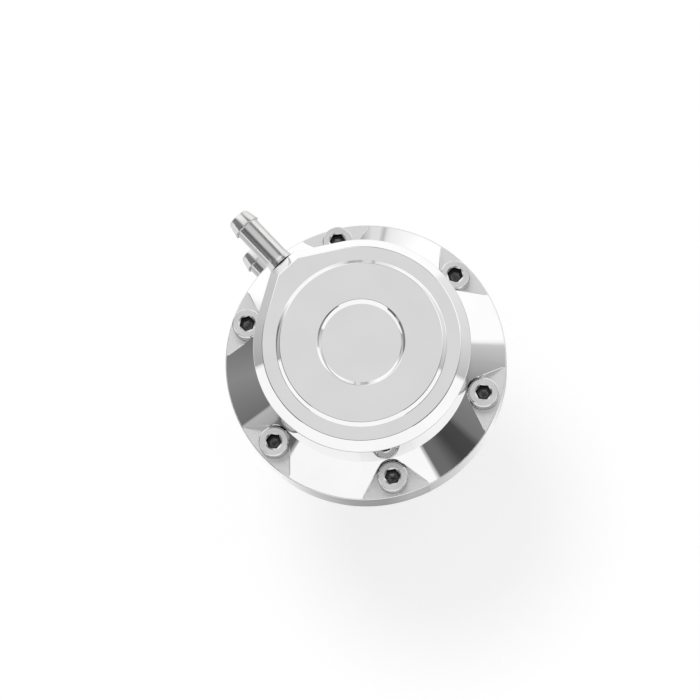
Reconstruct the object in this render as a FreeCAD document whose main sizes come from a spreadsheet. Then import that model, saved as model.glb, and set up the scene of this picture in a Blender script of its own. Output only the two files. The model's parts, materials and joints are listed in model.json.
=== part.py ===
import FreeCAD, Part
import math
import os
import re

import Sketcher

# A two-port wastegate actuator: a billet can of two halves clamped round a rolling
# diaphragm, a return spring under the piston, and a rod that moves down out of the neck.
# Z runs up the actuator's axis. The origin is midway between the two tapped bracket holes,
# on the lower body's base face. Both hose tails point along -X. Sizes in millimetres.

SIZES = {
    # can
    "flange_radius": 40.0,
    "screw_edge": 5.0,
    "head_gap": 0.45,
    "wall_thickness": 3.5,
    "edge_break": 0.35,
    "boss_out": 3.9,
    "boss_flat": 4.3,
    # lower body
    "body_height": 34.0,
    "body_flange": 6.0,
    "base_thickness": 9.0,
    "base_chamfer": 1.5,
    "pilot_height": 2.0,
    "neck_radius": 10.0,
    "neck_length": 8.0,
    "shoulder_thickness": 4.0,
    "bracket_spacing": 32.0,
    "bracket_hole_radius": 2.5,
    "bracket_hole_depth": 7.0,
    # top cover
    "cover_flange": 4.8,
    "cover_rise": 23.9,
    "face_chamfer": 2.75,
    "skirt_rise": 6.8,
    "roof_thickness": 4.0,
    "roof_corner": 2.0,
    "ledge_width": 3.85,
    "plateau_slope": 1.1,
    "plateau_rise": 1.1,
    "recess_radius": 12.2,
    "recess_slope": 1.25,
    "recess_depth": 1.25,
    "stop_radius": 2.5,
    "stop_margin": 1.0,
    "stop_count": 3,
    "stop_gap": 0.2,
    # cover screws
    "screw_count": 6,
    "first_screw_angle": 30.0,
    "head_radius": 4.25,
    "head_height": 5.0,
    "head_chamfer": 0.4,
    "shank_radius": 2.5,
    "shank_length": 10.0,
    "socket_flats": 4.0,
    "socket_depth": 2.5,
    "screw_clearance": 0.25,
    "thread_clearance": 0.05,
    "pocket_clearance": 0.25,
    "pocket_half_angle": 45.0,
    # hose tails
    "tail_drop": 6.4,
    "lower_tail_height": 17.0,
    "tail_radius": 3.5,
    "barb_radius": 4.05,
    "tip_radius": 3.2,
    "tail_bore": 2.0,
    "tail_length": 17.1,
    "barb_length": 4.0,
    "collar_radius": 3.8,
    "collar_length": 0.8,
    "flare_length": 1.8,
    "spigot_radius": 3.0,
    "spigot_length": 5.5,
    "tail_seal_radius": 3.6,
    "tail_seal_thickness": 0.4,
    # diaphragm
    "sheet": 0.8,
    "bead_thickness": 1.5,
    "bead_step": 1.5,
    "bead_width": 3.0,
    "leg_clearance": 0.2,
    "roll_clearance": 0.3,
    "fold_depth": 3.0,
    # piston stack
    "piston_rise": 12.0,
    "roll_width": 3.8,
    "piston_length": 17.0,
    "piston_wall": 2.0,
    "crown_thickness": 2.5,
    "nest_depth": 4.0,
    "nest_clearance": 0.6,
    "retainer_margin": 2.5,
    "retainer_thickness": 2.0,
    "washer_radius": 8.0,
    "washer_thickness": 1.6,
    "piston_nut_flats": 13.0,
    "piston_nut_height": 6.5,
    "stack_clearance": 0.05,
    # spring
    "spring_gap": 2.4,
    "wire_radius": 1.6,
    "active_coils": 3.0,
    "closed_coils": 0.9,
    # rod
    "rod_radius": 4.0,
    "rod_collar_radius": 7.0,
    "rod_collar_height": 3.0,
    "rod_reach": 36.0,
    "rod_stick_out": 0.8,
    "end_thread_radius": 3.0,
    "end_thread_length": 21.0,
    "rod_chamfer": 0.6,
    "running_clearance": 0.05,
    # neck
    "seal_radius": 7.0,
    "seal_height": 3.5,
    "seal_groove_width": 0.9,
    "seal_groove_depth": 1.6,
    "bush_length": 7.0,
    "ring_thickness": 1.0,
    "ring_radius": 7.5,
    "ring_width": 1.3,
    "ring_clearance": 0.1,
    "ring_half_gap": 24.0,
    "ear_radius": 1.3,
    "ear_set_back": 6.0,
    "ear_hole_radius": 0.45,
    # rod eye
    "lock_nut_flats": 10.0,
    "lock_nut_height": 5.0,
    "eye_engagement": 12.0,
    "eye_hole_spare": 2.0,
    "eye_drop": 23.0,
    "eye_radius": 9.5,
    "eye_width": 8.0,
    "eye_bore": 4.05,
    "eye_chamfer": 0.7,
    "eye_shank_radius": 6.0,
    "eye_shank_length": 12.0,
    "eye_neck_radius": 4.0,
    "eye_taper": 2.0,
}

# Sizes that follow from the ones above.
DERIVED = {
    "screw_circle": "(flange_radius - screw_edge)",
    "wall_radius": "(screw_circle - head_radius - head_gap)",
    "bore_radius": "(wall_radius - wall_thickness)",
    "boss_reach": "(wall_radius + boss_out)",
    "boss_corner": "sqrt(boss_reach ^ 2 + boss_flat ^ 2)",
    "boss_turn": "(atan(boss_flat / boss_reach) + acos(wall_radius / boss_corner))",
    "plateau_radius": "(wall_radius - face_chamfer - ledge_width - plateau_slope)",
    "spring_radius": "(piston_radius - piston_wall - wire_radius - spring_gap)",
    "pilot_radius": "(spring_radius - wire_radius - nest_clearance)",
    "bead_inner": "(bore_radius + bead_step)",
    "bead_outer": "(bead_inner + bead_width)",
    "piston_level": "(body_height + piston_rise)",
    "piston_radius": "(bore_radius - roll_width)",
    "retainer_radius": "(piston_radius - retainer_margin)",
    "stop_circle": "(retainer_radius - stop_radius - stop_margin)",
}

DRILL_POINT = 0.6
NUT_CHAMFER_SLOPE = 0.577
CLOSED_COIL_PITCH = 2.04
POINTS_PER_COIL = 16

doc = FreeCAD.newDocument("wastegate_actuator")
sheet = doc.addObject("Spreadsheet::Sheet", "Sizes")
for row, (alias, number) in enumerate(SIZES.items(), start=1):
    sheet.set(f"A{row}", alias)
    sheet.set(f"B{row}", str(number))
    sheet.setAlias(f"B{row}", alias)
doc.recompute()


def bound(text):
    """The expression with each size's name pointed at its cell."""

    def cell(match):
        word = match.group()
        if word in DERIVED:
            return bound(DERIVED[word])
        return f"Sizes.{word}" if word in SIZES else word

    return re.sub(r"[a-z][a-z_]*", cell, text)


# Levels up the axis, each from the sizes that set it.
SEAT = "(body_height + cover_flange)"
FACE = f"({SEAT} + cover_rise)"
CEILING = f"({FACE} - roof_thickness)"
UNDER_FLANGE = "(body_height - body_flange)"
CROWN_UNDER = "(piston_level - crown_thickness)"
RETAINER_BASE = "(piston_level + sheet)"
WASHER_BASE = f"({RETAINER_BASE} + retainer_thickness)"
PISTON_NUT_BASE = f"({WASHER_BASE} + washer_thickness)"
ROD_TOP = f"({PISTON_NUT_BASE} + piston_nut_height + rod_stick_out)"
SEAL_TOP = "(base_thickness - shoulder_thickness)"
BUSH_TOP = f"({SEAL_TOP} - seal_height)"
BUSH_BASE = f"({BUSH_TOP} - bush_length)"
RING_BASE = f"({BUSH_BASE} - ring_thickness)"
ROD_END = "(-rod_reach - end_thread_length)"
EYE_TOP = f"({ROD_END} + eye_engagement)"
EYE_CENTRE = f"({EYE_TOP} - eye_drop)"
UPPER_TAIL = f"({FACE} - tail_drop)"


def new_body(name):
    body = doc.addObject("PartDesign::Body", name)
    body.Label = name
    return body


def sketch_on(body, role, name, offset=None):
    """A sketch on one of the body's own origin planes, raised by offset if one is given."""
    plane = next(f for f in body.Origin.OriginFeatures if f.Role == role)
    sketch = body.newObject("Sketcher::SketchObject", name)
    sketch.AttachmentSupport = (plane, [""])
    sketch.MapMode = "FlatFace"
    if offset:
        sketch.setExpression("AttachmentOffset.Base.z", bound(offset))
    return sketch


def fix(sketch, kind, axis, geometry, end, text):
    """Hold one coordinate of a point at the value of an expression."""
    number = float(sketch.evalExpression(bound(text)))
    if abs(number) < 1e-9:
        sketch.addConstraint(Sketcher.Constraint("PointOnObject", geometry, end, axis))
        return
    index = sketch.addConstraint(
        Sketcher.Constraint(kind, -1, 1, geometry, end, number)
    )
    sketch.setExpression(f"Constraints[{index}]", bound(text))


def outline(sketch, corners, arcs=None):
    """A closed profile through the corners. An arc replaces the line that leaves its corner."""
    arcs = arcs or {}
    points = []
    for x, y in corners:
        px = float(sketch.evalExpression(bound(x)))
        py = float(sketch.evalExpression(bound(y)))
        points.append(FreeCAD.Vector(px, py, 0))
    ends = []
    for i, start in enumerate(points):
        stop = points[(i + 1) % len(points)]
        if i not in arcs:
            g = sketch.addGeometry(Part.LineSegment(start, stop))
            ends.append((g, 1, 2))
            continue
        cx, cy, turn, held = arcs[i]
        centre = FreeCAD.Vector(
            float(sketch.evalExpression(bound(cx))),
            float(sketch.evalExpression(bound(cy))),
            0,
        )
        first, last = (start, stop) if turn == "ccw" else (stop, start)
        circle = Part.Circle(centre, FreeCAD.Vector(0, 0, 1), (start - centre).Length)
        a0 = math.atan2(first.y - centre.y, first.x - centre.x)
        a1 = math.atan2(last.y - centre.y, last.x - centre.x)
        if a1 <= a0:
            a1 += 2 * math.pi
        g = sketch.addGeometry(Part.ArcOfCircle(circle, a0, a1))
        ends.append((g, 1, 2) if turn == "ccw" else (g, 2, 1))
        if held == "x":
            fix(sketch, "DistanceX", -2, g, 3, cx)
        else:
            fix(sketch, "DistanceY", -1, g, 3, cy)
    for i, (g, first_end, last_end) in enumerate(ends):
        following, following_first, _ = ends[(i + 1) % len(ends)]
        sketch.addConstraint(
            Sketcher.Constraint("Coincident", g, last_end, following, following_first)
        )
        fix(sketch, "DistanceX", -2, g, first_end, corners[i][0])
        fix(sketch, "DistanceY", -1, g, first_end, corners[i][1])


def circle(sketch, x, y, radius):
    """A circle held at an expression's centre and radius."""
    number = float(sketch.evalExpression(bound(radius)))
    centre = FreeCAD.Vector(
        float(sketch.evalExpression(bound(x))),
        float(sketch.evalExpression(bound(y))),
        0,
    )
    g = sketch.addGeometry(Part.Circle(centre, FreeCAD.Vector(0, 0, 1), number))
    fix(sketch, "DistanceX", -2, g, 3, x)
    fix(sketch, "DistanceY", -1, g, 3, y)
    index = sketch.addConstraint(Sketcher.Constraint("Radius", g, number))
    sketch.setExpression(f"Constraints[{index}]", bound(radius))


def hexagon(sketch, flats):
    """A hexagon of the given width across flats about the sketch's origin."""
    corner = f"{flats} / sqrt(3)"
    outline(
        sketch,
        [(f"{corner} * cos({60 * k})", f"{corner} * sin({60 * k})") for k in range(6)],
    )


def turned(body, name, corners, arcs=None, cut=False, axis="V_Axis"):
    """A profile turned about the axis, added to the body or cut from it."""
    sketch = sketch_on(body, "XZ_Plane", f"{name}_profile")
    outline(sketch, corners, arcs)
    kind = "PartDesign::Groove" if cut else "PartDesign::Revolution"
    feature = body.newObject(kind, name)
    feature.Profile = sketch
    feature.ReferenceAxis = (sketch, [axis])
    feature.Angle = 360
    return feature


def padded(body, name, sketch, length):
    feature = body.newObject("PartDesign::Pad", name)
    feature.Profile = sketch
    feature.setExpression("Length", bound(length))
    return feature


def pocketed(body, name, sketch, length, reverse=False, both_ways=False):
    """A pocket along the sketch's normal (reverse) or against it, or half each way."""
    feature = body.newObject("PartDesign::Pocket", name)
    feature.Profile = sketch
    feature.Reversed = reverse
    feature.Midplane = both_ways
    feature.setExpression("Length", bound(length))
    return feature


def polar(body, name, features, count):
    """Copies of the features set evenly about the body's Z axis."""
    z_axis = next(f for f in body.Origin.OriginFeatures if f.Role == "Z_Axis")
    pattern = body.newObject("PartDesign::PolarPattern", name)
    pattern.Originals = features
    pattern.Axis = (z_axis, [""])
    pattern.Angle = 360
    pattern.setExpression("Occurrences", bound(count))
    body.Tip = pattern
    return pattern


def bevelled(body, name, chosen, size):
    """A chamfer on the tip's edges that pass the test."""
    doc.recompute()
    base = body.Tip
    edges = [f"Edge{i}" for i, e in enumerate(base.Shape.Edges, start=1) if chosen(e)]
    if not edges:
        raise RuntimeError(f"{name} found no edge")
    feature = body.newObject("PartDesign::Chamfer", name)
    feature.Base = (base, edges)
    feature.setExpression("Size", bound(size))
    return feature


def number(text):
    return float(sheet.evalExpression(bound(text).replace("Sizes.", "")))


def at_level(edge, level):
    """Whether the whole edge lies at one height."""
    return all(abs(v.Point.z - level) < 1e-4 for v in edge.Vertexes) and (
        abs(edge.BoundBox.ZLength) < 1e-4
    )


def can_outline(sketch):
    """The can's plan: its wall, and the two tangents that run out to the hose boss's flat."""
    tangent_x = "(-wall_radius * cos(boss_turn))"
    tangent_y = "(wall_radius * sin(boss_turn))"
    corners = [
        (tangent_x, f"-{tangent_y}"),
        (tangent_x, tangent_y),
        ("-boss_reach", "boss_flat"),
        ("-boss_reach", "-boss_flat"),
    ]
    outline(sketch, corners, {0: ("0", "0", "ccw", "x")})


def screw_hole(body, name, radius, level, depth):
    """One screw hole up from the level, and its copies round the flange."""
    sketch = sketch_on(body, "XY_Plane", f"{name}_circle", level)
    circle(
        sketch,
        "screw_circle * cos(first_screw_angle)",
        "screw_circle * sin(first_screw_angle)",
        radius,
    )
    hole = pocketed(body, name, sketch, depth, reverse=True)
    polar(body, f"{name}_ring", [hole], "screw_count")


def tail_hole(body, name, level):
    """The hole for a hose tail, from the chamber out through the boss."""
    sketch = sketch_on(body, "YZ_Plane", f"{name}_circle")
    circle(sketch, "0", level, "spigot_radius + thread_clearance")
    return pocketed(body, name, sketch, "boss_reach + edge_break")


# Lower body: can, flange, neck, seats for the diaphragm's bead, the seal and the bush.
lower_body = new_body("lower_body")
turned(
    lower_body,
    "lower_flange",
    [
        ("0", UNDER_FLANGE),
        ("flange_radius - edge_break", UNDER_FLANGE),
        ("flange_radius", f"{UNDER_FLANGE} + edge_break"),
        ("flange_radius", "body_height"),
        ("0", "body_height"),
    ],
)
lower_plan = sketch_on(lower_body, "XY_Plane", "lower_plan")
can_outline(lower_plan)
padded(lower_body, "lower_can", lower_plan, f"{UNDER_FLANGE} + edge_break")
bevelled(
    lower_body,
    "base_bevel",
    lambda e: at_level(e, 0.0),
    "base_chamfer",
)
turned(
    lower_body,
    "neck",
    [
        ("0", "-neck_length"),
        ("neck_radius - edge_break", "-neck_length"),
        ("neck_radius", "-neck_length + edge_break"),
        ("neck_radius", "edge_break"),
        ("0", "edge_break"),
    ],
)
turned(
    lower_body,
    "lower_chamber",
    [
        ("0", "body_height"),
        ("bead_outer", "body_height"),
        ("bead_outer", "body_height - bead_thickness"),
        ("bead_inner", "body_height - bead_thickness"),
        ("bead_inner", "body_height - sheet"),
        ("bore_radius", "body_height - sheet"),
        ("bore_radius", "base_thickness + roof_corner"),
        ("bore_radius - roof_corner", "base_thickness"),
        ("pilot_radius", "base_thickness"),
        ("pilot_radius - edge_break", "base_thickness + pilot_height"),
        ("rod_radius + screw_clearance", "base_thickness + pilot_height"),
        ("rod_radius + screw_clearance", SEAL_TOP),
        ("seal_radius", SEAL_TOP),
        ("seal_radius", BUSH_BASE),
        ("ring_radius + ring_clearance", BUSH_BASE),
        ("ring_radius + ring_clearance", f"{RING_BASE} - ring_clearance"),
        ("seal_radius", f"{RING_BASE} - ring_clearance"),
        ("seal_radius", "-neck_length"),
        ("0", "-neck_length"),
    ],
    cut=True,
)
screw_hole(
    lower_body,
    "tapped_hole",
    "shank_radius + thread_clearance",
    UNDER_FLANGE,
    "body_flange",
)
bracket_plan = sketch_on(lower_body, "XY_Plane", "bracket_plan")
circle(bracket_plan, "0", "bracket_spacing / 2", "bracket_hole_radius")
circle(bracket_plan, "0", "-bracket_spacing / 2", "bracket_hole_radius")
pocketed(lower_body, "bracket_holes", bracket_plan, "bracket_hole_depth", reverse=True)
tail_hole(lower_body, "lower_tail_hole", "lower_tail_height")

# Top cover: cone skirt with six screw pockets, cap with its boss, stepped face.
top_cover = new_body("top_cover")
turned(
    top_cover,
    "skirt",
    [
        ("0", "body_height"),
        ("flange_radius", "body_height"),
        ("flange_radius", f"{SEAT} - edge_break"),
        ("flange_radius - edge_break", SEAT),
        ("wall_radius", f"{SEAT} + skirt_rise"),
        ("0", f"{SEAT} + skirt_rise"),
    ],
)
NOSE = "(head_radius + pocket_clearance)"
pocket_plan = sketch_on(top_cover, "XY_Plane", "pocket_plan", SEAT)
nose_x = f"(screw_circle - {NOSE} * sin(pocket_half_angle))"
nose_y = f"({NOSE} * cos(pocket_half_angle))"
mouth_x = "(flange_radius + pocket_clearance)"
mouth_y = f"({nose_y} + ({mouth_x} - {nose_x}) * tan(pocket_half_angle))"


def turned_x(x, y):
    return f"{x} * cos(first_screw_angle) - {y} * sin(first_screw_angle)"


def turned_y(x, y):
    return f"{x} * sin(first_screw_angle) + {y} * cos(first_screw_angle)"


pocket_corners = [
    (nose_x, nose_y),
    (nose_x, f"(-{nose_y})"),
    (mouth_x, f"(-{mouth_y})"),
    (mouth_x, mouth_y),
]
outline(
    pocket_plan,
    [(turned_x(x, y), turned_y(x, y)) for x, y in pocket_corners],
    {0: (turned_x("screw_circle", "0"), turned_y("screw_circle", "0"), "ccw", "y")},
)
screw_pocket = pocketed(
    top_cover, "screw_pocket", pocket_plan, "skirt_rise + cover_flange", reverse=True
)
polar(top_cover, "screw_pockets", [screw_pocket], "screw_count")
cap_plan = sketch_on(top_cover, "XY_Plane", "cap_plan", SEAT)
can_outline(cap_plan)
padded(top_cover, "cap", cap_plan, "cover_rise")
bevelled(
    top_cover,
    "face_bevel",
    lambda e: at_level(e, number(FACE)),
    "face_chamfer",
)
turned(
    top_cover,
    "stepped_face",
    [
        ("0", f"{FACE} - edge_break"),
        ("plateau_radius + plateau_slope", f"{FACE} - edge_break"),
        ("plateau_radius + plateau_slope", FACE),
        ("plateau_radius", f"{FACE} + plateau_rise"),
        ("recess_radius", f"{FACE} + plateau_rise"),
        ("recess_radius - recess_slope", f"{FACE} + plateau_rise - recess_depth"),
        ("0", f"{FACE} + plateau_rise - recess_depth"),
    ],
)
turned(
    top_cover,
    "upper_chamber",
    [
        ("0", "body_height"),
        ("bore_radius", "body_height"),
        ("bore_radius", f"{CEILING} - roof_corner"),
        ("bore_radius - roof_corner", CEILING),
        ("0", CEILING),
    ],
    cut=True,
)
stop_plan = sketch_on(top_cover, "XY_Plane", "stop_plan", f"{WASHER_BASE} + stop_gap")
circle(stop_plan, "stop_circle", "0", "stop_radius")
stop_pillar = padded(
    top_cover,
    "stop_pillar",
    stop_plan,
    f"{CEILING} + edge_break - {WASHER_BASE} - stop_gap",
)
polar(top_cover, "stop_pillars", [stop_pillar], "stop_count")
screw_hole(
    top_cover,
    "screw_hole",
    "shank_radius + screw_clearance",
    "body_height",
    "cover_flange",
)
tail_hole(top_cover, "upper_tail_hole", UPPER_TAIL)

# Rolling diaphragm: clamped bead, leg down the bore, fold, leg up the piston, crown.
diaphragm = new_body("diaphragm")
OUTER_LEG = "(bore_radius - leg_clearance)"
INNER_LEG = "(piston_radius + roll_clearance)"
FOLD_CENTRE = f"(({OUTER_LEG} + {INNER_LEG}) / 2)"
FOLD_LEVEL = "(body_height - fold_depth)"
HOLE = "(rod_radius + stack_clearance)"
turned(
    diaphragm,
    "rolled_sheet",
    [
        ("bead_outer", "body_height"),
        ("bead_outer", "body_height - bead_thickness"),
        ("bead_inner", "body_height - bead_thickness"),
        ("bead_inner", "body_height - sheet"),
        (OUTER_LEG, "body_height - sheet"),
        (OUTER_LEG, FOLD_LEVEL),
        (INNER_LEG, FOLD_LEVEL),
        (INNER_LEG, "piston_level"),
        (HOLE, "piston_level"),
        (HOLE, RETAINER_BASE),
        (f"{INNER_LEG} + sheet", RETAINER_BASE),
        (f"{INNER_LEG} + sheet", FOLD_LEVEL),
        (f"{OUTER_LEG} - sheet", FOLD_LEVEL),
        (f"{OUTER_LEG} - sheet", "body_height"),
    ],
    {
        5: (FOLD_CENTRE, FOLD_LEVEL, "cw", "y"),
        11: (FOLD_CENTRE, FOLD_LEVEL, "ccw", "y"),
    },
)

# Piston cup, the disc over the diaphragm, washer and nut.
piston = new_body("piston")
NEST = "(spring_radius + wire_radius + nest_clearance)"
turned(
    piston,
    "cup",
    [
        (HOLE, "piston_level"),
        ("piston_radius - edge_break", "piston_level"),
        ("piston_radius", "piston_level - edge_break"),
        ("piston_radius", "piston_level - piston_length"),
        ("piston_radius - piston_wall", "piston_level - piston_length"),
        ("piston_radius - piston_wall", f"{CROWN_UNDER} - nest_depth"),
        (NEST, f"{CROWN_UNDER} - nest_depth"),
        (NEST, CROWN_UNDER),
        (HOLE, CROWN_UNDER),
    ],
)


def ring(name, inner, outer, base, height, chamfer=None):
    """A flat ring about the axis, its outer edges broken if a chamfer is given."""
    body = new_body(name)
    corners = [(inner, base), (outer, base), (outer, f"{base} + {height}")]
    if chamfer:
        corners = [
            (inner, base),
            (f"{outer} - {chamfer}", base),
            (outer, f"{base} + {chamfer}"),
            (outer, f"{base} + {height} - {chamfer}"),
            (f"{outer} - {chamfer}", f"{base} + {height}"),
        ]
    corners.append((inner, f"{base} + {height}"))
    turned(body, f"{name}_ring", corners)
    return body


retainer_plate = ring(
    "retainer_plate",
    HOLE,
    "retainer_radius",
    RETAINER_BASE,
    "retainer_thickness",
    "edge_break",
)
piston_washer = ring(
    "piston_washer", HOLE, "washer_radius", WASHER_BASE, "washer_thickness"
)


def nut(name, flats, hole, base, height):
    """A hexagon nut with both faces' corners turned off at 30 degrees."""
    body = new_body(name)
    plan = sketch_on(body, "XY_Plane", f"{name}_plan", base)
    hexagon(plan, flats)
    padded(body, f"{name}_hexagon", plan, height)
    across = f"({flats} / sqrt(3))"
    drop = f"(({across} - {flats} / 2) * {NUT_CHAMFER_SLOPE})"
    beyond = f"({across} + edge_break)"
    low = f"({base} + {drop} + edge_break * {NUT_CHAMFER_SLOPE})"
    high = f"({base} + {height} - {drop} - edge_break * {NUT_CHAMFER_SLOPE})"
    turned(
        body,
        f"{name}_lower_corners",
        [(f"{flats} / 2", base), (beyond, base), (beyond, low)],
        cut=True,
    )
    turned(
        body,
        f"{name}_upper_corners",
        [
            (f"{flats} / 2", f"{base} + {height}"),
            (beyond, f"{base} + {height}"),
            (beyond, high),
        ],
        cut=True,
    )
    bore = sketch_on(body, "XY_Plane", f"{name}_bore_circle", base)
    circle(bore, "0", "0", hole)
    pocketed(body, f"{name}_bore", bore, height, reverse=True)
    return body


piston_nut = nut(
    "piston_nut", "piston_nut_flats", HOLE, PISTON_NUT_BASE, "piston_nut_height"
)

# Rod: threaded top through the piston, collar under it, threaded lower end.
actuator_rod = new_body("actuator_rod")
turned(
    actuator_rod,
    "stem",
    [
        ("0", ROD_END),
        ("end_thread_radius - rod_chamfer", ROD_END),
        ("end_thread_radius", f"{ROD_END} + rod_chamfer"),
        ("end_thread_radius", "-rod_reach - rod_chamfer"),
        ("rod_radius", "-rod_reach + rod_radius - end_thread_radius - rod_chamfer"),
        ("rod_radius", f"{CROWN_UNDER} - rod_collar_height"),
        ("rod_collar_radius", f"{CROWN_UNDER} - rod_collar_height"),
        ("rod_collar_radius", CROWN_UNDER),
        ("rod_radius", CROWN_UNDER),
        ("rod_radius", f"{ROD_TOP} - rod_chamfer"),
        ("rod_radius - rod_chamfer", ROD_TOP),
        ("0", ROD_TOP),
    ],
)

# Neck: bush, lip seal with its groove towards the chamber, spring ring in its groove.
SLIDE = "(rod_radius + running_clearance)"
rod_bush = ring("rod_bush", SLIDE, "seal_radius", BUSH_BASE, "bush_length")
rod_seal = new_body("rod_seal")
SEAL_MIDDLE = f"(({SLIDE} + seal_radius) / 2)"
turned(
    rod_seal,
    "lip_ring",
    [
        (SLIDE, BUSH_TOP),
        ("seal_radius", BUSH_TOP),
        ("seal_radius", SEAL_TOP),
        (f"{SEAL_MIDDLE} + seal_groove_width / 2", SEAL_TOP),
        (SEAL_MIDDLE, f"{SEAL_TOP} - seal_groove_depth"),
        (f"{SEAL_MIDDLE} - seal_groove_width / 2", SEAL_TOP),
        (SLIDE, SEAL_TOP),
    ],
)
seal_retaining_ring = new_body("seal_retaining_ring")
ring_plan = sketch_on(seal_retaining_ring, "XY_Plane", "ring_plan", RING_BASE)
RING_INNER = "(ring_radius - ring_width)"
outline(
    ring_plan,
    [
        ("ring_radius * cos(ring_half_gap)", "ring_radius * sin(ring_half_gap)"),
        ("ring_radius * cos(ring_half_gap)", "-ring_radius * sin(ring_half_gap)"),
        (f"{RING_INNER} * cos(ring_half_gap)", f"-{RING_INNER} * sin(ring_half_gap)"),
        (f"{RING_INNER} * cos(ring_half_gap)", f"{RING_INNER} * sin(ring_half_gap)"),
    ],
    {0: ("0", "0", "ccw", "x"), 2: ("0", "0", "cw", "x")},
)
padded(seal_retaining_ring, "ring_band", ring_plan, "ring_thickness")
EAR = f"({RING_INNER} + ring_clearance - ear_radius / 2)"
EAR_TURN = "(ring_half_gap + ear_set_back)"
for side, sign in (("left", ""), ("right", "-")):
    ear_plan = sketch_on(
        seal_retaining_ring, "XY_Plane", f"{side}_ear_plan", RING_BASE
    )
    ear_x = f"{EAR} * cos{EAR_TURN}"
    ear_y = f"{sign}{EAR} * sin{EAR_TURN}"
    circle(ear_plan, ear_x, ear_y, "ear_radius")
    padded(seal_retaining_ring, f"{side}_ear", ear_plan, "ring_thickness")
    hole_plan = sketch_on(
        seal_retaining_ring, "XY_Plane", f"{side}_hole_plan", RING_BASE
    )
    circle(hole_plan, ear_x, ear_y, "ear_hole_radius")
    pocketed(
        seal_retaining_ring,
        f"{side}_hole",
        hole_plan,
        "ring_thickness",
        reverse=True,
    )

# Lock nut and rod eye.
lock_nut = nut(
    "lock_nut",
    "lock_nut_flats",
    "end_thread_radius + thread_clearance",
    EYE_TOP,
    "lock_nut_height",
)
rod_eye = new_body("rod_eye")
eye_plan = sketch_on(rod_eye, "XZ_Plane", "eye_plan")
circle(eye_plan, "0", EYE_CENTRE, "eye_radius")
eye_pad = padded(rod_eye, "eye", eye_plan, "eye_width")
eye_pad.Midplane = True
bevelled(rod_eye, "eye_bevel", lambda e: len(e.Vertexes) == 1, "eye_chamfer")
turned(
    rod_eye,
    "eye_shank",
    [
        ("0", EYE_TOP),
        ("eye_shank_radius - edge_break", EYE_TOP),
        ("eye_shank_radius", f"{EYE_TOP} - edge_break"),
        ("eye_shank_radius", f"{EYE_TOP} - eye_shank_length"),
        ("eye_neck_radius", f"{EYE_TOP} - eye_shank_length - eye_taper"),
        ("eye_neck_radius", EYE_CENTRE),
        ("0", EYE_CENTRE),
    ],
)
turned(
    rod_eye,
    "eye_thread",
    [
        ("0", EYE_TOP),
        ("end_thread_radius + thread_clearance", EYE_TOP),
        (
            "end_thread_radius + thread_clearance",
            f"{EYE_TOP} - eye_engagement - eye_hole_spare",
        ),
        (
            "0",
            f"{EYE_TOP} - eye_engagement - eye_hole_spare"
            f" - end_thread_radius * {DRILL_POINT}",
        ),
    ],
    cut=True,
)
eye_bore_plan = sketch_on(rod_eye, "XZ_Plane", "eye_bore_plan")
circle(eye_bore_plan, "0", EYE_CENTRE, "eye_bore")
pocketed(rod_eye, "eye_bore_hole", eye_bore_plan, "eye_width", both_ways=True)

# Socket head screws that clamp the two halves.
for k in range(int(SIZES["screw_count"])):
    name = f"cover_screw_{k + 1}"
    screw = new_body(name)
    turned(
        screw,
        f"{name}_turned",
        [
            ("0", "-shank_length"),
            ("shank_radius - head_chamfer", "-shank_length"),
            ("shank_radius", "-shank_length + head_chamfer"),
            ("shank_radius", "0"),
            ("head_radius", "0"),
            ("head_radius", "head_height - head_chamfer"),
            ("head_radius - head_chamfer", "head_height"),
            ("0", "head_height"),
        ],
    )
    socket = sketch_on(screw, "XY_Plane", f"{name}_socket_plan", "head_height")
    hexagon(socket, "socket_flats")
    pocketed(screw, f"{name}_socket", socket, "socket_depth")
    turn = f"(first_screw_angle + 360 / screw_count * {k})"
    screw.setExpression("Placement.Base.x", bound(f"screw_circle * cos({turn})"))
    screw.setExpression("Placement.Base.y", bound(f"screw_circle * sin({turn})"))
    screw.setExpression("Placement.Base.z", bound(SEAT))

# Hose tails and the washers under their collars.
FOOT = "(boss_reach + tail_seal_thickness)"
for name, level in (("upper", UPPER_TAIL), ("lower", "lower_tail_height")):
    tail = new_body(f"{name}_hose_tail")
    turned(
        tail,
        f"{name}_tail_turned",
        [
            (f"-{FOOT} - tail_length", "tail_bore"),
            (f"-{FOOT} - tail_length", "tip_radius"),
            (f"-{FOOT} - tail_length + barb_length", "barb_radius"),
            (f"-{FOOT} - tail_length + barb_length", "tail_radius"),
            (f"-{FOOT} - collar_length - flare_length", "tail_radius"),
            (f"-{FOOT} - collar_length", "collar_radius"),
            (f"-{FOOT}", "collar_radius"),
            (f"-{FOOT}", "spigot_radius"),
            ("-boss_reach + spigot_length", "spigot_radius"),
            ("-boss_reach + spigot_length", "tail_bore"),
        ],
        axis="H_Axis",
    )
    tail.setExpression("Placement.Base.z", bound(level))
    seal = new_body(f"{name}_tail_seal")
    turned(
        seal,
        f"{name}_seal_turned",
        [
            (f"-{FOOT}", "spigot_radius + thread_clearance"),
            (f"-{FOOT}", "tail_seal_radius"),
            ("-boss_reach", "tail_seal_radius"),
            ("-boss_reach", "spigot_radius + thread_clearance"),
        ],
        axis="H_Axis",
    )
    seal.setExpression("Placement.Base.z", bound(level))
doc.recompute()


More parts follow.
